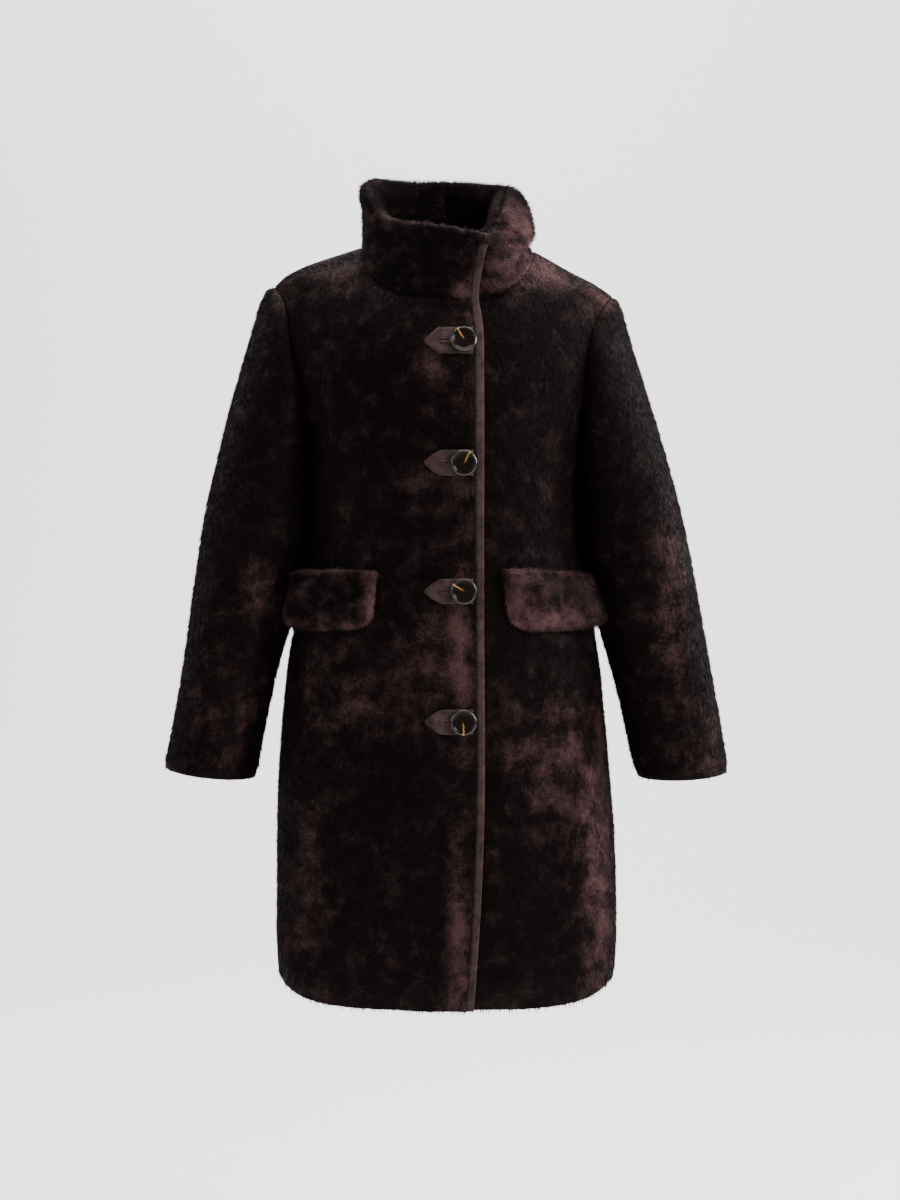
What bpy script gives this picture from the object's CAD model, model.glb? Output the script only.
"""The looks of a hip-length faux fur coat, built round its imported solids. Metres, the front faces -Y."""

import math

import bmesh
import bpy
import numpy as np
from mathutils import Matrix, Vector
from mathutils.bvhtree import BVHTree
from mathutils.kdtree import KDTree


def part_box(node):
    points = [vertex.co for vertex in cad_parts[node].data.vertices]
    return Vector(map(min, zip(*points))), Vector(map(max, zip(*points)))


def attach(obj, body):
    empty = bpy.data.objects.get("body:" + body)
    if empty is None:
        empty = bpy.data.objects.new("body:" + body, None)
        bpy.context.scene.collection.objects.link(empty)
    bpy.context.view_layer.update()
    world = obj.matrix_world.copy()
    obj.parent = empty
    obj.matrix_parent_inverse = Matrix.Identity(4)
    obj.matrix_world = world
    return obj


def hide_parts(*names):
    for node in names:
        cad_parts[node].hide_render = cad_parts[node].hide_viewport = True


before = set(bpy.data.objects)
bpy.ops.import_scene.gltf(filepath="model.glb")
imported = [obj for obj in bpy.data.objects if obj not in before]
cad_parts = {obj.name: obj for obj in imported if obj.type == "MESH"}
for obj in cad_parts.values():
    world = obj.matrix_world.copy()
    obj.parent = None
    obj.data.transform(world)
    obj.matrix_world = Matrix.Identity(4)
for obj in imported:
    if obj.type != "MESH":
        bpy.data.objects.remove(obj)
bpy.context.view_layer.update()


# ---- The studio: a sheet of pale grey background paper that curves up behind the coat, which hangs
# with nothing in sight to hold it, as in a catalogue picture. The strongest lamp near the coat stands
# to the viewer's right, so that side of the pile is the lighter one.
def linear(color):
    """An sRGB hex colour as linear red, green, blue and alpha."""
    parts = np.array([int(color[i : i + 2], 16) / 255 for i in (1, 3, 5)])
    return (*np.where(parts <= 0.04045, parts / 12.92, ((parts + 0.055) / 1.055) ** 2.4), 1.0)


def add(tree, kind, settings=None, **links):
    """Adds a node. Settings are its own properties, and links fill sockets with a value or an output.

    A socket goes by its name, with _ for each space, or by its number, as in i0.
    """
    made = tree.nodes.new(kind)
    for key, value in (settings or {}).items():
        setattr(made, key, value)
    for key, value in links.items():
        key = key.replace("_", " ")
        socket = made.inputs[int(key[1:])] if key[0] == "i" and key[1:].isdigit() else made.inputs[key]
        if isinstance(value, bpy.types.NodeSocket):
            tree.links.new(value, socket)
        else:
            socket.default_value = value
    return made


def set_values(node, **values):
    """Sets sockets that hold a plain value, each by its name with _ for each space."""
    for key, value in values.items():
        node.inputs[key.replace("_", " ")].default_value = value


def tinted(tree, shader, share, dark, light):
    """Colours a shader between two sRGB hex colours, by a share from 0 to 1."""
    tint = add(tree, "ShaderNodeMix", {"data_type": "RGBA"}, i0=share, i6=linear(dark), i7=linear(light))
    tree.links.new(tint.outputs[2], shader.inputs["Base Color"])


def new_material(name):
    """A material with its node tree and Principled shader."""
    material = bpy.data.materials.new(name)
    material.use_nodes = True
    return material, material.node_tree, material.node_tree.nodes["Principled BSDF"]


def new_piece(name, mesh, material):
    """Links a mesh as an object at the origin, with one material, smooth all over."""
    piece = bpy.data.objects.new(name, mesh)
    bpy.context.scene.collection.objects.link(piece)
    mesh.materials.clear()
    mesh.materials.append(material)
    mesh.polygons.foreach_set("use_smooth", [True] * len(mesh.polygons))
    return piece


def stand(name, data, place, target):
    """Puts a lamp or the camera at a place, turned to look at the target."""
    holder = bpy.data.objects.new(name, data)
    holder.location = place
    holder.rotation_euler = (Vector(target) - Vector(place)).to_track_quat("-Z", "Y").to_euler()
    bpy.context.scene.collection.objects.link(holder)
    return holder


FLOOR_Z, PAPER_HALF_WIDTH, PAPER_TOP = -1.42, 6.0, 5.0
BEND_START, BEND_RADIUS, BEND_STEPS = 2.2, 1.6, 16
paper, tree, shader = new_material("background_paper")
grain = add(tree, "ShaderNodeTexNoise", Scale=900.0, Detail=2.0)
tinted(tree, shader, grain.outputs[0], "#f0efee", "#edeceb")
set_values(shader, Roughness=0.95, Specular_IOR_Level=0.1)
rise = [(-PAPER_HALF_WIDTH, 0.0), (BEND_START, 0.0)]
rise += [
    (BEND_START + BEND_RADIUS * math.sin(a), BEND_RADIUS - BEND_RADIUS * math.cos(a))
    for a in np.linspace(0.1, math.pi / 2, BEND_STEPS)
]
rise += [(BEND_START + BEND_RADIUS, PAPER_TOP)]
sweep = [(x, y, FLOOR_Z + z) for y, z in rise for x in (-PAPER_HALF_WIDTH, PAPER_HALF_WIDTH)]
mesh = bpy.data.meshes.new("backdrop")
mesh.from_pydata(sweep, [], [(2 * i, 2 * i + 1, 2 * i + 3, 2 * i + 2) for i in range(len(rise) - 1)])
backdrop = new_piece("backdrop", mesh, paper)

COAT_MIDDLE, PAPER_BEHIND = (0, 0, -0.4), (0, 2.6, -0.6)
LAMPS = (
    # name, place, what it is turned to, watts, size
    ("key", (2.6, -1.7, 1.2), COAT_MIDDLE, 150, 1.3),
    ("fill", (-2.6, -2.0, 0.4), COAT_MIDDLE, 22, 2.0),
    ("side_right", (2.3, 0.4, 0.1), COAT_MIDDLE, 80, 1.0),
    ("side_left", (-2.4, 0.4, 0.4), COAT_MIDDLE, 34, 1.2),
    ("paper_wash", (0.0, 0.6, 2.8), PAPER_BEHIND, 330, 3.0),
)
for name, place, target, watts, size in LAMPS:
    lamp = bpy.data.lights.new(name, "AREA")
    lamp.energy = watts
    lamp.size = size
    stand(name, lamp, place, target)
world = bpy.data.worlds.new("studio")
bpy.context.scene.world = world
world.use_nodes = True
set_values(world.node_tree.nodes["Background"], Color=linear("#f2f2f3"), Strength=0.8)

# The camera is level with the chest and looks down a little, at the middle of the coat.
CAMERA_PLACE, CAMERA_TARGET = (0.0036, -2.8, -0.15), (0.0036, 0.0, -0.42)
lens = bpy.data.cameras.new("camera")
lens.lens, lens.sensor_width = 70.32, 36.0
bpy.context.scene.camera = stand("camera", lens, CAMERA_PLACE, CAMERA_TARGET)


# ---- The back: one wide panel of dark brown faux fur, a dense short acrylic pile knitted into a
# cloth backing. It is cut to the form, sewn at the sides and shoulders, and its pile is brushed down.
def fur_pile(name, dark, light, patch_mm):
    """Acrylic pile: near-black brown, lighter where the nap is stroked up, with a faint sheen."""
    material, tree, shader = new_material(name)
    place = add(tree, "ShaderNodeTexCoord").outputs["Object"]
    # The nap's patches are as wide as a hand has stroked them, and single locks are under 3 mm wide.
    patches = add(
        tree, "ShaderNodeTexNoise", Vector=place, Scale=1000.0 / patch_mm, Detail=4.0, Roughness=0.68
    )
    locks = add(tree, "ShaderNodeTexNoise", Vector=place, Scale=420.0, Detail=2.0, Roughness=0.6)
    mottle = add(
        tree, "ShaderNodeMath", {"operation": "MULTIPLY_ADD"},
        i0=locks.outputs[0], i1=0.45, i2=patches.outputs[0],
    )
    stroked = add(tree, "ShaderNodeAttribute", {"attribute_name": "nap"}).outputs["Fac"]
    raised = add(tree, "ShaderNodeMath", {"operation": "MULTIPLY"}, i0=mottle.outputs[0], i1=0.62)
    both = add(
        tree, "ShaderNodeMath", {"operation": "MULTIPLY_ADD"},
        i0=stroked, i1=raised.outputs[0], i2=mottle.outputs[0],
    )
    share = add(
        tree, "ShaderNodeMapRange", {"interpolation_type": "SMOOTHSTEP"},
        Value=both.outputs[0], From_Min=0.70, From_Max=1.50,
    )
    tinted(tree, shader, share.outputs[0], dark, light)
    gloss = add(tree, "ShaderNodeMapRange", Value=both.outputs[0], To_Min=0.75, To_Max=0.55)
    tree.links.new(gloss.outputs[0], shader.inputs["Roughness"])
    set_values(
        shader, IOR=1.5, Specular_IOR_Level=0.04, Sheen_Weight=0.025, Sheen_Roughness=0.3,
        Sheen_Tint=linear("#a06e66"),
    )
    return material


body_pile = fur_pile("body_acrylic_pile", "#0a0404", "#4b3434", 26.0)

# Points nearer to each other than the first are one, faces that meet at less than the second are one,
# and edges sharper than the third are creased, by the fourth. Metres and radians.
WELD_WITHIN, JOIN_WITHIN, CREASE_ABOVE, CREASE = 0.00003, math.radians(50), math.radians(40), 0.75
# How near to the middle plane the seams of sides and shoulders lie, and to x = 0 that of the collar.
SIDE_SEAM_WITHIN, CENTRE_SEAM_WITHIN = 0.0008, 0.0015
# The left and the right shoulder tip in metres: how far out and how high each is, how wide the solids'
# seam is open at its end and just before it, and how far the cloth's seam goes on, out and down.
SHOULDER_TIPS = (
    (0.1895, -0.0580, 0.0035, 0.0051, 0.0040, -0.0026),
    (0.1969, -0.0441, 0.00545, 0.0035, 0.0045, -0.0046),
)
# Points nearer to a tip than the first are the seam's end, and those up to the second come before it.
TIP_END, TIP_BEFORE = 0.004, 0.015


def as_piece(bm, name, material):
    """Turns a bmesh into a piece."""
    mesh = bpy.data.meshes.new(name)
    bm.to_mesh(mesh)
    bm.free()
    return new_piece(name, mesh, material)


def made_plain(piece):
    """Turns what the modifiers make into the piece's own mesh."""
    graph = bpy.context.evaluated_depsgraph_get()
    mesh = bpy.data.meshes.new_from_object(piece.evaluated_get(graph))
    piece.modifiers.clear()
    piece.data = mesh
    mesh.polygons.foreach_set("use_smooth", [True] * len(mesh.polygons))


def draw_in(bm, node, drawn_in):
    """Draws a form in, and gives the points of the body's side and shoulder seams, pulled shut.

    These seams lie in the middle plane. The solids leave a small opening at each shoulder tip, so the
    cloth's seam is drawn out to the sleeve there.
    """
    # The wide faces on each side set which way a corner is drawn in, so that the seams stay closed.
    moves = []
    for vertex in bm.verts:
        way = sum((face.normal * face.calc_area() ** 3 for face in vertex.link_faces), Vector())
        moves.append(way.normalized() * drawn_in)
    shut = set()
    for vertex, move in zip(bm.verts, moves):
        tip_x, tip_z, open_end, open_before, out, down = SHOULDER_TIPS[vertex.co.x < 0.0]
        away = math.hypot(abs(vertex.co.x) - tip_x, vertex.co.z - tip_z)
        at_end = away < TIP_END and abs(vertex.co.y) < open_end
        before = TIP_END <= away < TIP_BEFORE and abs(vertex.co.y) < open_before
        sewn = abs(vertex.co.y) < SIDE_SEAM_WITHIN or at_end or before
        if node in ("back", "front_right", "front_left") and sewn:
            shut.add(vertex)
            if at_end:
                vertex.co += Vector((math.copysign(out, vertex.co.x), 0.0, down))
        vertex.co -= move
    for vertex in shut:
        vertex.co.y = 0.0
    return shut


def sewn_cloth(node, name, material, drawn_in=0.0012, soft_above=1.0):
    """The node's form as smooth cloth, drawn in a little so that the pile ends where the solid does.

    Edges higher than soft_above are free ones and roll over softly, but for those on the centre line.
    """
    bm = bmesh.new()
    bm.from_mesh(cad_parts[node].data)
    bmesh.ops.remove_doubles(bm, verts=bm.verts, dist=WELD_WITHIN)
    bmesh.ops.join_triangles(
        bm, faces=bm.faces, angle_face_threshold=JOIN_WITHIN, angle_shape_threshold=math.pi
    )
    bmesh.ops.recalc_face_normals(bm, faces=bm.faces)
    shut = draw_in(bm, node, drawn_in)
    crease = bm.edges.layers.float.new("crease_edge")
    for edge in bm.edges:
        low = min(vertex.co.z for vertex in edge.verts)
        central = all(abs(vertex.co.x) < CENTRE_SEAM_WITHIN for vertex in edge.verts)
        free = low > soft_above and not central
        if len(edge.link_faces) == 2 and edge.calc_face_angle() > CREASE_ABOVE and not free:
            edge[crease] = CREASE
        if shut.issuperset(edge.verts):
            edge[crease] = 1.0
    # A corner where three creased edges meet is kept, and so is all of a shut seam.
    held = bm.verts.layers.float.new("crease_vert")
    for vertex in bm.verts:
        if vertex in shut or sum(edge[crease] > 0 for edge in vertex.link_edges) > 2:
            vertex[held] = 1.0
    piece = as_piece(bm, name, material)
    rounding = piece.modifiers.new("rounding", "SUBSURF")
    rounding.levels = rounding.render_levels = 1
    made_plain(piece)
    return piece


def new_group(name, inputs, output):
    """A Geometry Nodes tree with these inputs and one output of geometry, and what it is given."""
    tree = bpy.data.node_groups.new(name, "GeometryNodeTree")
    for label, kind in inputs.items():
        tree.interface.new_socket(label, in_out="INPUT", socket_type="NodeSocket" + kind)
    tree.interface.new_socket(output, in_out="OUTPUT", socket_type="NodeSocketGeometry")
    return tree, add(tree, "NodeGroupInput").outputs


def worked(piece, tree, **inputs):
    """Runs a Geometry Nodes tree on a piece and keeps what it makes. Inputs go by name, _ for a space."""
    growth = piece.modifiers.new(tree.name, "NODES")
    growth.node_group = tree
    sockets = {item.name: item.identifier for item in tree.interface.items_tree}
    for key, value in inputs.items():
        growth[sockets[key.replace("_", " ")]] = value
    made_plain(piece)


# One tuft is a three-sided lock of hair with a point, 1 m long here and set to its size on the cloth.
lock = bpy.data.meshes.new("lock")
lock.from_pydata(
    [(math.cos(a), math.sin(a), 0.0) for a in np.radians((0, 120, 240))] + [(0.0, 0.0, 1.0)],
    [],
    [(0, 1, 3), (1, 2, 3), (2, 0, 3)],
)
lock_object = bpy.data.objects.new("lock", lock)

pile_tree, given = new_group("pile", {
    "Cloth": "Geometry", "Lock": "Object", "Finish": "Material", "Tufts per m2": "Float",
    "Length": "Float", "Width": "Float", "Lift": "Float", "Ruffle": "Float", "Seed": "Int",
}, "Pile")
has_pile = add(pile_tree, "GeometryNodeInputNamedAttribute", {"data_type": "FLOAT"}, Name="has_pile")
trimmed = add(pile_tree, "GeometryNodeInputNamedAttribute", {"data_type": "FLOAT"}, Name="trimmed")
thickly = add(
    pile_tree, "ShaderNodeMath", {"operation": "MULTIPLY"},
    i0=has_pile.outputs[0], i1=given["Tufts per m2"],
)
roots = add(
    pile_tree, "GeometryNodeDistributePointsOnFaces",
    Mesh=given["Cloth"], Density=thickly.outputs[0], Seed=given["Seed"],
)
out = roots.outputs["Normal"]
# The pile lies down the cloth, so its direction is straight down less what points out of the cloth.
down = add(pile_tree, "FunctionNodeInputVector", {"vector": (0.0, 0.0, -1.0)}).outputs[0]
dot = add(pile_tree, "ShaderNodeVectorMath", {"operation": "DOT_PRODUCT"}, i0=down, i1=out)
off = add(pile_tree, "ShaderNodeVectorMath", {"operation": "SCALE"}, i0=out, Scale=dot.outputs["Value"])
flat = add(pile_tree, "ShaderNodeVectorMath", {"operation": "SUBTRACT"}, i0=down, i1=off.outputs[0])
lie = add(pile_tree, "ShaderNodeVectorMath", {"operation": "NORMALIZE"}, i0=flat.outputs[0])
direction = lie.outputs[0]
here = add(pile_tree, "GeometryNodeInputPosition").outputs[0]
# Strokes of the brush turn the nap in patches of about 50 mm, and locks part from each other at 9 mm.
RUFFLES, RUFFLE_GAIN = ((0.050, 1.0), (0.009, 0.7)), 2.2
for wide, much in RUFFLES:
    swirl = add(pile_tree, "ShaderNodeTexNoise", Vector=here, Scale=1 / wide, Detail=1.0)
    centred = add(
        pile_tree, "ShaderNodeVectorMath", {"operation": "SUBTRACT"},
        i0=swirl.outputs[1], i1=(0.5, 0.5, 0.5),
    )
    strength = add(
        pile_tree, "ShaderNodeMath", {"operation": "MULTIPLY"}, i0=given["Ruffle"], i1=RUFFLE_GAIN * much
    )
    turned = add(
        pile_tree, "ShaderNodeVectorMath", {"operation": "SCALE"},
        i0=centred.outputs[0], Scale=strength.outputs[0],
    )
    direction = add(
        pile_tree, "ShaderNodeVectorMath", {"operation": "ADD"}, i0=direction, i1=turned.outputs[0]
    ).outputs[0]
# Each tuft's direction strays by up to this along each axis, and its length varies by these shares.
STRAY, SHORTEST, LONGEST = 0.28, 0.7, 1.15
loose = add(
    pile_tree, "FunctionNodeRandomValue", {"data_type": "FLOAT_VECTOR"},
    i0=(-STRAY,) * 3, i1=(STRAY,) * 3, Seed=given["Seed"],
)
stray = add(pile_tree, "ShaderNodeVectorMath", {"operation": "ADD"}, i0=direction, i1=loose.outputs[0])
up = add(pile_tree, "ShaderNodeVectorMath", {"operation": "SCALE"}, i0=out, Scale=given["Lift"])
lifted = add(
    pile_tree, "ShaderNodeVectorMath", {"operation": "ADD"}, i0=stray.outputs[0], i1=up.outputs[0]
)
turn = add(pile_tree, "FunctionNodeAlignRotationToVector", {"axis": "Z"}, Vector=lifted.outputs[0])
uneven = add(
    pile_tree, "FunctionNodeRandomValue", {"data_type": "FLOAT"},
    i2=SHORTEST, i3=LONGEST, Seed=given["Seed"],
)
long = add(
    pile_tree, "ShaderNodeMath", {"operation": "MULTIPLY"}, i0=uneven.outputs[1], i1=given["Length"]
)
cut = add(
    pile_tree, "ShaderNodeMath", {"operation": "MULTIPLY"}, i0=long.outputs[0], i1=trimmed.outputs[0]
)
size = add(pile_tree, "ShaderNodeCombineXYZ", X=given["Width"], Y=given["Width"], Z=cut.outputs[0])
kept = add(
    pile_tree, "GeometryNodeStoreNamedAttribute", {"data_type": "FLOAT_VECTOR", "domain": "POINT"},
    Geometry=roots.outputs["Points"], Name="cloth_normal", Value=out,
)
one = add(pile_tree, "GeometryNodeObjectInfo", Object=given["Lock"])
many = add(
    pile_tree, "GeometryNodeInstanceOnPoints",
    Points=kept.outputs[0], Instance=one.outputs["Geometry"],
    Rotation=turn.outputs[0], Scale=size.outputs[0],
)
real = add(pile_tree, "GeometryNodeRealizeInstances", Geometry=many.outputs[0])
dyed = add(pile_tree, "GeometryNodeSetMaterial", Geometry=real.outputs[0], Material=given["Finish"])
add(pile_tree, "NodeGroupOutput", Pile=dyed.outputs[0])

# Where hands and the edge have stroked the pile up, so that it looks lighter: middle x and z, half
# widths, and how much. The last column is -1 where it is seen on the front only and 1 on the back.
NAP = (
    (0.016, -0.46, 0.012, 0.14, 0.9, -1),
    (0.013, -0.80, 0.013, 0.10, 1.0, -1),
    (-0.012, -0.46, 0.040, 0.05, 0.55, -1),
    (-0.010, -0.14, 0.050, 0.035, 0.4, -1),
    (-0.012, -0.27, 0.040, 0.03, 0.4, -1),
    (0.176, -0.74, 0.018, 0.15, 0.85, -1),
    (0.148, -0.66, 0.030, 0.035, 0.5, -1),
    (0.120, -0.59, 0.050, 0.06, 0.6, -1),
    (0.090, 0.03, 0.030, 0.040, 0.9, -1),
    (0.060, -0.035, 0.030, 0.020, 0.6, -1),
    (-0.030, 0.03, 0.060, 0.012, 0.6, -1),
    (0.020, -0.055, 0.016, 0.030, 0.6, -1),
    (-0.110, -0.52, 0.060, 0.05, 0.45, -1),
    (-0.160, -0.76, 0.020, 0.10, 0.45, -1),
    (0.125, -0.03, 0.050, 0.030, 0.75, -1),
    (-0.125, -0.03, 0.050, 0.025, 0.45, -1),
    (-0.222, -0.40, 0.024, 0.030, 0.45, -1),
    (-0.262, -0.55, 0.035, 0.06, 0.35, -1),
    (0.262, -0.42, 0.020, 0.10, 0.6, -1),
    (0.300, -0.60, 0.020, 0.05, 0.5, -1),
    (0.180, -0.06, 0.020, 0.030, 0.5, -1),
    (-0.190, -0.05, 0.014, 0.020, 0.4, -1),
    (-0.060, -0.35, 0.050, 0.12, 0.5, 1),
    (0.090, -0.60, 0.060, 0.10, 0.5, 1),
    (0.000, -0.15, 0.080, 0.04, 0.4, 1),
)
# The strokes of one side fade out over this depth, across the middle plane.
NAP_FADE = 0.08
# Cloth that looks down more than this is a hem. Pile nearer to it than so many of its lengths is cut
# short, to no less than this share. FAR_OFF stands in for the hem of a piece that has none.
HEM_LOOKS_DOWN, TRIM_WITHIN, TRIM_LEAST, FAR_OFF = -0.75, 1.6, 0.3, (0, 0, 9)
# A tuft's points, its radius at the root, and what share of its own normals it keeps.
TUFT_POINTS, TUFT_RADIUS, TUFT_OWN_NORMAL = 4, 0.0005, 0.3
# The bake map's margin, the width of each half of it, its height, and how wide a tuft is on it.
MAP_EDGE, MAP_WIDE, MAP_HIGH, MAP_TUFT = 0.01, 0.47, 0.98, 0.0008


def distance_to(points):
    """A function that gives how far a spot is from the nearest of the points."""
    near = KDTree(len(points))
    for i, point in enumerate(points):
        near.insert(point, i)
    near.balance()
    return lambda spot: near.find(spot)[2]


def values_of(items, key, width, kind=float):
    """One property of all items of a mesh, a row for each."""
    values = np.empty(len(items) * width, kind)
    items.foreach_get(key, values)
    return values.reshape(-1, width)


def stroke_nap(mesh, strokes):
    """Marks each point with how far its pile is stroked up."""
    x, y, z = values_of(mesh.vertices, "co", 3).T
    nap = np.zeros(len(x))
    for mid_x, mid_z, wide, high, much, face in strokes:
        seen = np.clip(0.5 + face * y / NAP_FADE, 0, 1)
        nap += much * seen * np.exp(-(((x - mid_x) / wide) ** 2) - ((z - mid_z) / high) ** 2)
    mesh.attributes.new("nap", "FLOAT", "POINT").data.foreach_set("value", nap.astype(np.float32))


def soft_normals(mesh):
    """Dense pile catches the light as its cloth does, so a lock's normals are mostly the cloth's."""
    stored = mesh.attributes["cloth_normal"]
    cloth_way = values_of(stored.data, "vector", 3, np.float32)
    lock_way = values_of(mesh.vertex_normals, "vector", 3, np.float32)
    way = cloth_way * (1 - TUFT_OWN_NORMAL) + lock_way * TUFT_OWN_NORMAL
    way /= np.maximum(np.linalg.norm(way, axis=1, keepdims=True), 1e-6)
    mesh.attributes.remove(stored)
    mesh.normals_split_custom_set_from_vertices(way)


def bake_map(mesh):
    """A map with each tuft at its root's place, the front half on the left, the back half beside it."""
    roots = values_of(mesh.vertices, "co", 3).reshape(-1, TUFT_POINTS, 3).mean(1)
    low, high = roots.min(0), roots.max(0)
    share = (roots - low) / np.maximum(high - low, 1e-6)
    across = MAP_EDGE + MAP_WIDE * share[:, 0] + 0.5 * (share[:, 1] > 0.5)
    at = np.stack([across, MAP_EDGE + MAP_HIGH * share[:, 2]], 1)
    loops = values_of(mesh.loops, "vertex_index", 1, int)[:, 0]
    spread = np.array(((0, 0), (MAP_TUFT, 0), (0, MAP_TUFT), (MAP_TUFT, MAP_TUFT)))
    layer = mesh.uv_layers.new(name="OFBake")
    layer.data.foreach_set("uv", (at[loops // TUFT_POINTS] + spread[loops % TUFT_POINTS]).ravel())


def grown_pile(
    cloth, name, material, tufts, outside, length=0.0075, lift=0.30, ruffle=0.20, seed=1,
    cut_at_hem=True, strokes=NAP,
):
    """Plants tufts on the faces of the cloth for which outside() is true, as a mesh of its own."""
    faces = cloth.data.polygons
    centres = np.array([face.center for face in faces])
    normals = np.array([face.normal for face in faces])
    areas = np.array([face.area for face in faces])
    chosen = outside(centres, normals).astype(np.float32)
    # The pile is cut short by the lower edges, so that hems and cuffs end in a clean line.
    downward = cut_at_hem & (normals[:, 2] < HEM_LOOKS_DOWN)
    hem = centres[downward]
    chosen[downward] = 0
    to_hem = distance_to(hem if len(hem) else [FAR_OFF])
    short = np.clip([to_hem(spot) / (TRIM_WITHIN * length) for spot in centres], TRIM_LEAST, 1)
    planted = cloth.copy()
    planted.data = cloth.data.copy()
    for key, values in (("has_pile", chosen), ("trimmed", short.astype(np.float32))):
        mark = planted.data.attributes.new(key, "FLOAT", "FACE")
        mark.data.foreach_set("value", values)
    bpy.context.scene.collection.objects.link(planted)
    worked(
        planted, pile_tree, Lock=lock_object, Finish=material,
        Tufts_per_m2=float(tufts / (areas * chosen).sum()),
        Length=length, Width=TUFT_RADIUS, Lift=lift, Ruffle=ruffle, Seed=seed,
    )
    planted.name = name
    planted.data.name = name
    soft_normals(planted.data)
    bake_map(planted.data)
    for piece in (cloth, planted):
        stroke_nap(piece.data, strokes)
    return planted


# The body is looked at from its middle line, which ends this high. A face that looks away from the
# middle, or is turned from it by this much at most, is an outer one.
MIDDLE_TOP, TURNED_FROM = -0.22, -0.05


def outside_body(centres, normals):
    """True where a face looks away from the middle of the body."""
    middle = np.stack([0 * centres[:, 0], 0 * centres[:, 1], np.minimum(centres[:, 2], MIDDLE_TOP)], 1)
    away = centres - middle
    away /= np.linalg.norm(away, axis=1, keepdims=True)
    return (away * normals).sum(1) > TURNED_FROM


def dress(piece, node, with_pieces):
    """Declares a cloth piece: what it rides on, what it stands for, and the size that it was cut to."""
    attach(piece, "root")
    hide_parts(node)
    for extra in with_pieces:
        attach(extra, "root")


back = sewn_cloth("back", "back_cloth", body_pile)
back_pile = grown_pile(back, "back_pile", body_pile, 44000, outside_body, seed=11)
dress(back, "back", with_pieces=[back_pile])

# ---- The right front, which lies on top: one panel of the same fur from the side seam to the bound
# edge, with four slits in it. Its pile is stroked up in a band along the edge and over the hip.
FRONT_DRAWN_IN = 0.0006
front_right = sewn_cloth("front_right", "front_right_cloth", body_pile, drawn_in=FRONT_DRAWN_IN)
front_right_pile = grown_pile(front_right, "front_right_pile", body_pile, 54000, outside_body, seed=12)
dress(front_right, "front_right", with_pieces=[front_right_pile])

# ---- The left front: one panel of the same fur, sewn at the side and shoulder like the right one. It
# is cut to run on below that one as far as the buttons need.
front_left = sewn_cloth("front_left", "front_left_cloth", body_pile, drawn_in=FRONT_DRAWN_IN)
front_left_pile = grown_pile(front_left, "front_left_pile", body_pile, 46000, outside_body, seed=13)
dress(front_left, "front_left", with_pieces=[front_left_pile])

# ---- The sleeves: each one tube of the fur, set into the armhole with a slightly raised head. They
# hang a little forward and away from the body, and crease softly at the elbow.
SLEEVE_AXES = {
    "sleeve_right": ((-0.183, 0.0, -0.130), (-0.282, -0.033, -0.627)),
    "sleeve_left": ((0.178, 0.0, -0.136), (0.282, -0.033, -0.630)),
}
# Where the pile of sleeve and side touch under the arm: how high and how far down, how deep, how far
# in the sleeve comes for it, and what part of the sleeve lies so near to the side.
TOUCH_Z, TOUCH_HIGH, TOUCH_DEEP, TOUCH_IN, SIDE_X = -0.33, 0.055, 0.03, 0.0036, 0.185


def outside_sleeve(ends):
    """A test for faces that look away from a sleeve's middle line."""
    start, end = np.array(ends[0]), np.array(ends[1])

    def away(centres, normals):
        share = np.clip((centres - start) @ (end - start) / ((end - start) @ (end - start)), 0, 1)
        out = centres - start - share[:, None] * (end - start)
        out /= np.linalg.norm(out, axis=1, keepdims=True)
        return (out * normals).sum(1) > TURNED_FROM

    return away


for seed, (node, ends) in enumerate(SLEEVE_AXES.items(), start=21):
    sleeve = sewn_cloth(node, node + "_cloth", body_pile, drawn_in=0.0)
    for vertex in sleeve.data.vertices:
        x, y, z = vertex.co
        under = math.exp(-(((z - TOUCH_Z) / TOUCH_HIGH) ** 2) - (y / TOUCH_DEEP) ** 2)
        vertex.co.x -= math.copysign(TOUCH_IN * under * (abs(x) < SIDE_X), x)
    pile = grown_pile(sleeve, node + "_pile", body_pile, 31000, outside_sleeve(ends), seed=seed)
    dress(sleeve, node, with_pieces=[pile])

# ---- The funnel collar: two halves of the fur, doubled, that stand round the neck and meet at the
# back. The right half is rolled over softly at its top, and the left half is turned out wide.

# The doubled cloth swells between these heights, by this much a side. It begins to swell this far from
# the edge strip, and does so fully this far on.
SWELL_FROM, SWELL_FULL, SWELL, STRIP_CLEAR, STRIP_FAR = -0.005, 0.035, 0.0032, 0.006, 0.026
# Nearer than this to x = 0 behind the neck a point is on the back seam, and swells along it only.
BACK_SEAM_WITHIN = 0.003
# At the wearer's right the top stands up by CORNER_UP, more and more from the first to the second of
# each pair, and beyond CORNER_X its side is drawn in to CORNER_SHARE of what stands out.
CORNER_OUT, CORNER_HIGH, CORNER_UP, CORNER_X, CORNER_SHARE = (0.04, 0.08), (0.03, 0.06), 0.009, -0.096, 0.4


def ramp(value, start, end):
    """How far a value has come from start to end, from 0 to 1."""
    return min(max((value - start) / (end - start), 0), 1)


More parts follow.
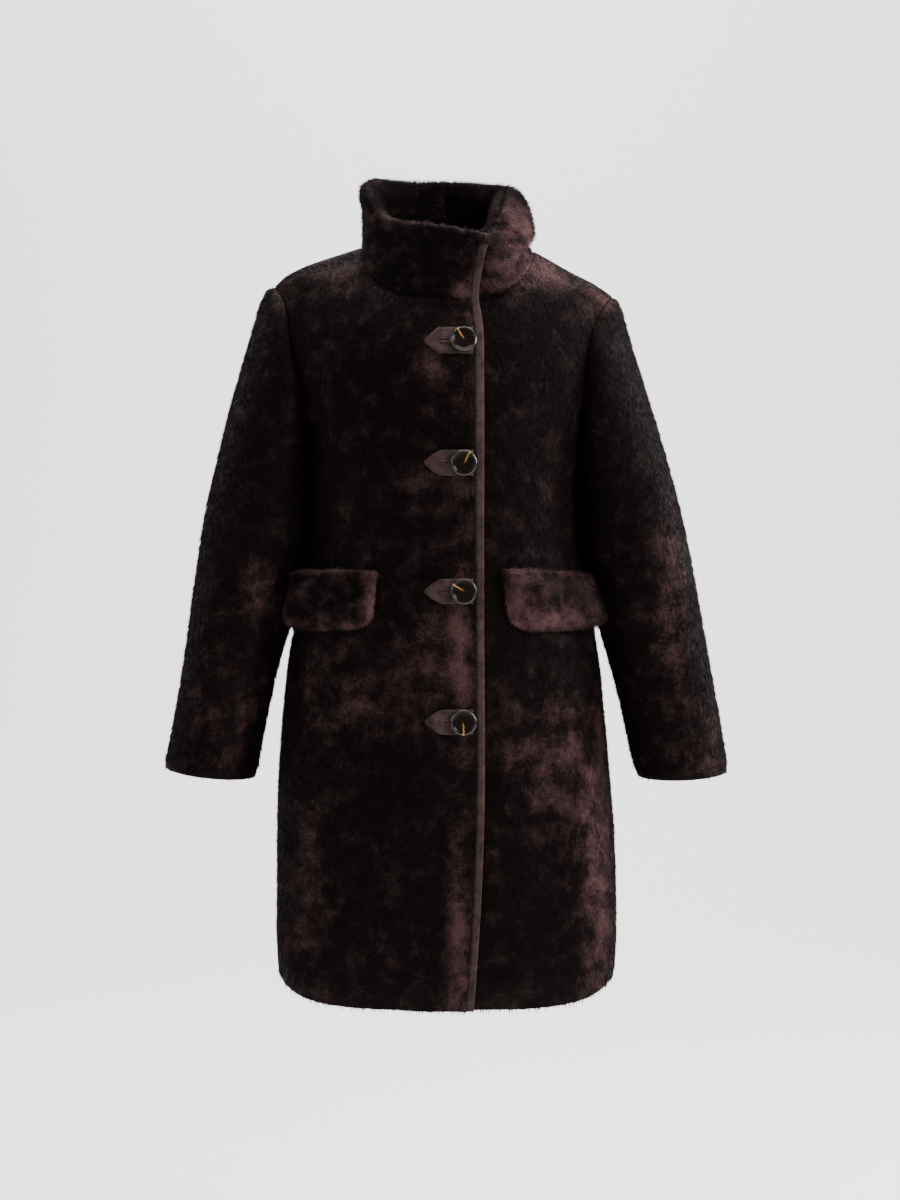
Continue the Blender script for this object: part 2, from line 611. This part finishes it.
def made_plump(piece, beside):
    """Swells doubled cloth towards its top, but not beside a solid, and shapes the right corner."""
    mesh = piece.data
    to_solid = distance_to([vertex.co for vertex in beside.data.vertices])
    for vertex, way in zip(mesh.vertices, [normal.vector.copy() for normal in mesh.vertex_normals]):
        risen = ramp(vertex.co.z, SWELL_FROM, SWELL_FULL)
        clear = ramp(to_solid(vertex.co), STRIP_CLEAR, STRIP_FAR)
        if abs(vertex.co.x) < BACK_SEAM_WITHIN and vertex.co.y > 0:
            way.x = 0
        vertex.co += way * SWELL * risen * clear
        vertex.co.z += CORNER_UP * ramp(-vertex.co.x, *CORNER_OUT) * ramp(vertex.co.z, *CORNER_HIGH)
        vertex.co.x = max(vertex.co.x, CORNER_X + CORNER_SHARE * (vertex.co.x - CORNER_X))
    mesh.update()


collar_pile_finish = fur_pile("collar_acrylic_pile", "#0d0707", "#614546", 20.0)
for seed, node, flat in ((31, "collar_right", (0.33, 0.10)), (32, "collar_left", (0.31, 0.15))):
    half = sewn_cloth(node, node + "_cloth", collar_pile_finish, drawn_in=0.0004, soft_above=0.02)
    made_plump(half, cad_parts["edge_strip"])
    pile = grown_pile(
        half, node + "_pile", collar_pile_finish, 27000, lambda at, out: np.ones(len(at)),
        length=0.0085, lift=0.65, ruffle=0.36, seed=seed, cut_at_hem=False,
    )
    dress(half, node, with_pieces=[pile])

# ---- The pocket flaps: thick doubled fur with rounded lower corners, sewn on along their top edge.
# Their pile is stroked up most at the inner end and along the lower edge, in the columns of NAP.
FLAP_NAP = (
    (-0.086, -0.410, 0.010, 0.040, 0.8, -1),
    (-0.115, -0.442, 0.050, 0.008, 0.45, -1),
    (-0.120, -0.376, 0.050, 0.005, 0.45, -1),
    (-0.130, -0.410, 0.080, 0.060, 0.30, -1),
    (0.076, -0.410, 0.016, 0.035, 0.75, -1),
    (0.120, -0.434, 0.050, 0.012, 0.75, -1),
    (0.100, -0.372, 0.040, 0.006, 0.6, -1),
    (0.105, -0.410, 0.060, 0.050, 0.50, -1),
)
# Faces of a flap that look back more than this lie against the front, and have no pile.
FLAP_LOOKS_BACK = 0.35
for seed, node in enumerate(("flap_right", "flap_left"), start=41):
    flap = sewn_cloth(node, node + "_cloth", collar_pile_finish, drawn_in=0.0)
    pile = grown_pile(
        flap, node + "_pile", collar_pile_finish, 12500, lambda at, out: out[:, 1] < FLAP_LOOKS_BACK,
        length=0.0095, lift=0.7, ruffle=0.4, seed=seed, cut_at_hem=False, strokes=FLAP_NAP,
    )
    dress(flap, node, with_pieces=[pile])

# ---- The edge strip: suede-like brown cloth, folded over the raw edge of the collar and the front and
# stitched down along its inner side.
suede, tree, shader = new_material("brown_brushed_suede_cloth")
place = add(tree, "ShaderNodeTexCoord").outputs["Object"]
nap = add(tree, "ShaderNodeTexNoise", Vector=place, Scale=1600.0, Detail=2.0, Roughness=0.7)
wear = add(tree, "ShaderNodeTexNoise", Vector=place, Scale=90.0, Detail=2.0)
mixed = add(
    tree, "ShaderNodeMath", {"operation": "MULTIPLY_ADD"}, i0=nap.outputs[0], i1=0.5, i2=wear.outputs[0]
)
share = add(tree, "ShaderNodeMapRange", Value=mixed.outputs[0], From_Min=0.5, From_Max=1.05)
tinted(tree, shader, share.outputs[0], "#1a1211", "#3d2d2b")
relief = add(tree, "ShaderNodeBump", Height=nap.outputs[0], Strength=0.35, Distance=0.0006)
tree.links.new(relief.outputs[0], shader.inputs["Normal"])
set_values(
    shader, Roughness=0.85, Specular_IOR_Level=0.1, Sheen_Weight=0.12, Sheen_Roughness=0.5,
    Sheen_Tint=linear("#8f746c"),
)

thread, tree, shader = new_material("brown_polyester_thread")
place = add(tree, "ShaderNodeTexCoord").outputs["Object"]
ply = add(tree, "ShaderNodeTexWave", Vector=place, Scale=900.0)
tinted(tree, shader, ply.outputs[1], "#070404", "#150d0c")
set_values(shader, Roughness=0.55, Specular_IOR_Level=0.3)

# One stitch is a bead of thread with rounded ends, 1 m long and 1 m in radius here.
STITCH_RINGS, STITCH_SIDES = ((-0.5, 0.35), (-0.36, 1.0), (0.36, 1.0), (0.5, 0.35)), 6
turns = 2 * math.pi * np.arange(STITCH_SIDES) / STITCH_SIDES
points = [(r * math.cos(a), r * math.sin(a), z) for z, r in STITCH_RINGS for a in turns]
rings = np.arange(len(points)).reshape(-1, STITCH_SIDES)
walls = [
    (int(a), int(b), int(c), int(d))
    for ring, after in zip(rings, rings[1:])
    for a, b, c, d in zip(ring, np.roll(ring, -1), np.roll(after, -1), after)
]
bead = bpy.data.meshes.new("stitch")
bead.from_pydata(points, [], walls + [rings[0][::-1].tolist(), rings[-1].tolist()])
bead_object = bpy.data.objects.new("stitch", bead)

sewing_tree, given = new_group("sewing", {
    "Line": "Geometry", "Stitch": "Object", "Thread": "Material", "Spacing": "Float",
    "Length": "Float", "Radius": "Float",
}, "Seam")
line = add(sewing_tree, "GeometryNodeMeshToCurve", Mesh=given["Line"])
evenly = add(
    sewing_tree, "GeometryNodeResampleCurve", {"mode": "LENGTH"},
    Curve=line.outputs[0], Length=given["Spacing"],
)
along = add(sewing_tree, "GeometryNodeInputTangent")
turn = add(sewing_tree, "FunctionNodeAlignRotationToVector", {"axis": "Z"}, Vector=along.outputs[0])
size = add(sewing_tree, "ShaderNodeCombineXYZ", X=given["Radius"], Y=given["Radius"], Z=given["Length"])
one = add(sewing_tree, "GeometryNodeObjectInfo", Object=given["Stitch"])
many = add(
    sewing_tree, "GeometryNodeInstanceOnPoints",
    Points=evenly.outputs[0], Instance=one.outputs["Geometry"],
    Rotation=turn.outputs[0], Scale=size.outputs[0],
)
real = add(sewing_tree, "GeometryNodeRealizeInstances", Geometry=many.outputs[0])
spun = add(sewing_tree, "GeometryNodeSetMaterial", Geometry=real.outputs[0], Material=given["Thread"])
add(sewing_tree, "NodeGroupOutput", Seam=spun.outputs[0])


def sewn_line(name, points, spacing, length, radius):
    """A row of stitches through the points."""
    mesh = bpy.data.meshes.new(name)
    mesh.from_pydata(points, [(i, i + 1) for i in range(len(points) - 1)], [])
    seam = new_piece(name, mesh, thread)
    worked(
        seam, sewing_tree, Stitch=bead_object, Thread=thread,
        Spacing=spacing, Length=length, Radius=radius,
    )
    return seam


def seen_from_front(piece):
    """A function that gives the point and normal where a line from the front meets the piece."""
    surface = BVHTree.FromObject(piece, bpy.context.evaluated_depsgraph_get())

    def meet(x, z):
        return surface.ray_cast(Vector((x, -1.0, z)), Vector((0, 1, 0)))[:2]

    return meet


# The seam lies this far in from the strip's inner side, and this little above the cloth.
STRIP_SEAM_IN, SEAM_ABOVE = 0.0032, 0.0001
# The seam stops short of the strip's lower and upper end. Its height is stepped through by SEAM_STEP,
# and at each step the inner side is looked for by ACROSS_STEP, from SIDE_SPARE outside the strip.
LOW_END, HIGH_END, SEAM_STEP, ACROSS_STEP, SIDE_SPARE = 0.003, 0.004, 0.006, 0.0004, 0.001
strip = sewn_cloth("edge_strip", "edge_strip_cloth", suede, drawn_in=0.0)
meet = seen_from_front(strip)
low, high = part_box("edge_strip")
seam_points = []
for z in np.arange(low.z + LOW_END, high.z - HIGH_END, SEAM_STEP):
    across = np.arange(low.x - SIDE_SPARE, high.x + SIDE_SPARE, ACROSS_STEP)
    hits = [x for x in across if meet(x, z)[0]]
    if hits:
        at, out = meet(min(hits) + STRIP_SEAM_IN, z)
        seam_points.append(at + out * SEAM_ABOVE)
strip_seam = sewn_line("edge_strip_seam", seam_points, spacing=0.0048, length=0.0034, radius=0.00065)
dress(strip, "edge_strip", with_pieces=[strip_seam])

# ---- The buttonhole patches: pointed tabs of the same suede cloth, laid on the fur round each slit.
# Each slit is bound with two rolled lips of the suede, and a row of stitches runs inside the edge.

# Millimetres: the corners of the seam, x in the part's frame and z from the patch's middle, then
# where the lips run from and to, how far each is from the slit, its radius, and its pointed end.
PATCH_SEAM = ((27.0, 12.2), (-8.6, 12.2), (-21.8, 1.4), (-21.8, -1.4), (-8.6, -12.2), (27.0, -12.2))
LIP_FROM, LIP_TO, LIP_OUT, LIP_RADIUS, LIP_POINT = -8.4, 10.0, 1.75, 1.9, 3.0
# The lips follow the patch's surface at this distance from the slit, sunk in it by this much.
LIP_FOLLOWS, LIP_SUNK = 3.6, 0.3
SIDE_STEPS, LIP_STEPS, LIP_SIDES, FINEST = 12, 20, 12, 0.2
for number in range(1, 5):
    node = f"hole_patch_{number}"
    patch = sewn_cloth(node, node + "_cloth", suede, drawn_in=0.0)
    low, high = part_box(node)
    middle = (low.z + high.z) / 2
    meet = seen_from_front(patch)
    outline = []
    for (x0, z0), (x1, z1) in zip(PATCH_SEAM, PATCH_SEAM[1:]):
        for share in np.linspace(0, 1, SIDE_STEPS, endpoint=False):
            at, out = meet((x0 + (x1 - x0) * share) / 1000, middle + (z0 + (z1 - z0) * share) / 1000)
            if at:
                outline.append(at + out * SEAM_ABOVE)
    seam = sewn_line(node + "_seam", outline, spacing=0.0034, length=0.0024, radius=0.00045)
    bm = bmesh.new()
    for side in (-1, 1):
        rings = []
        for x in np.linspace(LIP_FROM, LIP_TO, LIP_STEPS):
            # The lips close to a point at the slit's end.
            left = max(0.0, (LIP_FROM + LIP_POINT - x) / LIP_POINT)
            fine = math.sqrt(max(1 - left**2, FINEST**2))
            at = meet(x / 1000, middle + side * LIP_FOLLOWS / 1000)[0]
            centre = Vector((x, at.y * 1000 + LIP_SUNK, middle * 1000 + side * LIP_OUT * fine)) / 1000
            rings.append([
                bm.verts.new(centre + Vector((0, math.cos(a), math.sin(a))) * LIP_RADIUS * fine / 1000)
                for a in 2 * math.pi * np.arange(LIP_SIDES) / LIP_SIDES
            ])
        for before, after in zip(rings, rings[1:]):
            for k in range(LIP_SIDES):
                n = (k + 1) % LIP_SIDES
                bm.faces.new((before[k], before[n], after[n], after[k]))
        bm.faces.new(rings[0])
        bm.faces.new(rings[-1])
    bmesh.ops.recalc_face_normals(bm, faces=bm.faces)
    lips = as_piece(bm, node + "_lips", suede)
    dress(patch, node, with_pieces=[lips, seam])

# ---- The buttons: cast resin made to look like dark horn, with a raised rim that is polished, and an
# amber streak that runs in from the rim of each. A shank behind holds each on the left front.
horn, tree, shader = new_material("cast_resin_dark_horn")
# The button's own map runs from -1 to 1 over its face, with the streak towards +V.
face_map = add(tree, "ShaderNodeUVMap", {"uv_map": "face"}).outputs[0]
swirl = add(
    tree, "ShaderNodeTexNoise", Vector=face_map, Scale=1.7, Detail=3.0, Roughness=0.6, Distortion=0.8
)
bent = add(
    tree, "ShaderNodeVectorMath", {"operation": "MULTIPLY_ADD"},
    i0=swirl.outputs[1], i1=(0.5, 0.5, 0.0), i2=face_map,
)
parts = add(tree, "ShaderNodeSeparateXYZ", Vector=bent.outputs[0])
side = add(tree, "ShaderNodeMath", {"operation": "SUBTRACT"}, i0=parts.outputs[0], i1=0.25)
wide = add(tree, "ShaderNodeMath", {"operation": "ABSOLUTE"}, i0=side.outputs[0])
streak = add(
    tree, "ShaderNodeMapRange", {"interpolation_type": "SMOOTHSTEP"},
    Value=wide.outputs[0], From_Min=0.01, From_Max=0.09, To_Min=1.0, To_Max=0.0,
)
outer = add(
    tree, "ShaderNodeMapRange", {"interpolation_type": "SMOOTHSTEP"},
    Value=parts.outputs[1], From_Min=0.15, From_Max=0.75,
)
amber = add(tree, "ShaderNodeMath", {"operation": "MULTIPLY"}, i0=streak.outputs[0], i1=outer.outputs[0])
flecks = add(tree, "ShaderNodeTexNoise", Vector=face_map, Scale=6.0, Detail=2.0, Roughness=0.7)
dark = add(
    tree, "ShaderNodeMix", {"data_type": "RGBA"},
    i0=flecks.outputs[0], i6=linear("#050303"), i7=linear("#150c09"),
)
tint = add(
    tree, "ShaderNodeMix", {"data_type": "RGBA"},
    i0=amber.outputs[0], i6=dark.outputs[2], i7=linear("#8f6a2e"),
)
tree.links.new(tint.outputs[2], shader.inputs["Base Color"])
# The face is satin and keeps dark, and the rim is polished by wear.
far = add(tree, "ShaderNodeVectorMath", {"operation": "LENGTH"}, i0=face_map)
polished = add(
    tree, "ShaderNodeMapRange", {"interpolation_type": "SMOOTHSTEP"},
    Value=far.outputs["Value"], From_Min=0.80, From_Max=0.92, To_Min=0.05, To_Max=0.55,
)
tree.links.new(polished.outputs[0], shader.inputs["Specular IOR Level"])
set_values(shader, Roughness=0.22, IOR=1.54, Coat_Weight=0.03, Coat_Roughness=0.05)

# How far each button is turned on its shank, in degrees.
BUTTON_TURNS = {1: 28, 2: -30, 3: 55, 4: 178}
# Radius and height in millimetres, from the middle of the face round the raised rim to the back and
# the shank. The front of the solid button is as high as FACE_HEIGHT here.
BUTTON_PROFILE = (
    (0.0, 3.3), (3.0, 3.3), (6.0, 3.4), (9.0, 3.5), (10.6, 3.8), (11.6, 4.6), (12.6, 5.3), (13.4, 5.5),
    (14.2, 5.2), (14.8, 4.4), (15.0, 3.4), (14.8, 2.3), (14.0, 1.4), (11.0, 0.6), (2.6, 0.1), (1.5, -0.6),
    (1.5, -7.5),
)
FACE_HEIGHT, BUTTON_RADIUS, SPOKES = 3.4, 15.0, 72
for number, turned in BUTTON_TURNS.items():
    low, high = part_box(f"button_{number}")
    meet = seen_from_front(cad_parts[f"button_{number}"])
    at, out = meet((low.x + high.x) / 2, (low.z + high.z) / 2)
    across = Vector((1, 0, 0))
    up = out.cross(across).normalized()
    if up.z < 0:
        up.negate()
    bm = bmesh.new()
    face_uv = bm.loops.layers.uv.new("face")
    rings = []
    for radius, height in BUTTON_PROFILE[1:]:
        ring = []
        for k in range(SPOKES):
            a = 2 * math.pi * k / SPOKES
            spot = at + (across * math.cos(a) + up * math.sin(a)) * radius / 1000
            ring.append(bm.verts.new(spot + out * (height - FACE_HEIGHT) / 1000))
        rings.append(ring)
    centre = bm.verts.new(at + out * (BUTTON_PROFILE[0][1] - FACE_HEIGHT) / 1000)
    bottom = bm.verts.new(at + out * (BUTTON_PROFILE[-1][1] - FACE_HEIGHT) / 1000)
    for k in range(SPOKES):
        n = (k + 1) % SPOKES
        bm.faces.new((centre, rings[0][k], rings[0][n]))
        bm.faces.new((bottom, rings[-1][n], rings[-1][k]))
        for inside, outside in zip(rings, rings[1:]):
            bm.faces.new((inside[k], outside[k], outside[n], inside[n]))
    bmesh.ops.recalc_face_normals(bm, faces=bm.faces)
    angle = math.radians(turned)
    for face in bm.faces:
        for loop in face.loops:
            away = (loop.vert.co - at) * 1000 / BUTTON_RADIUS
            u, v = away.dot(across), away.dot(up)
            loop[face_uv].uv = (
                u * math.cos(angle) + v * math.sin(angle), v * math.cos(angle) - u * math.sin(angle)
            )
    button = as_piece(bm, f"horn_button_{number}", horn)
    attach(button, "root")
    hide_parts(f"button_{number}")
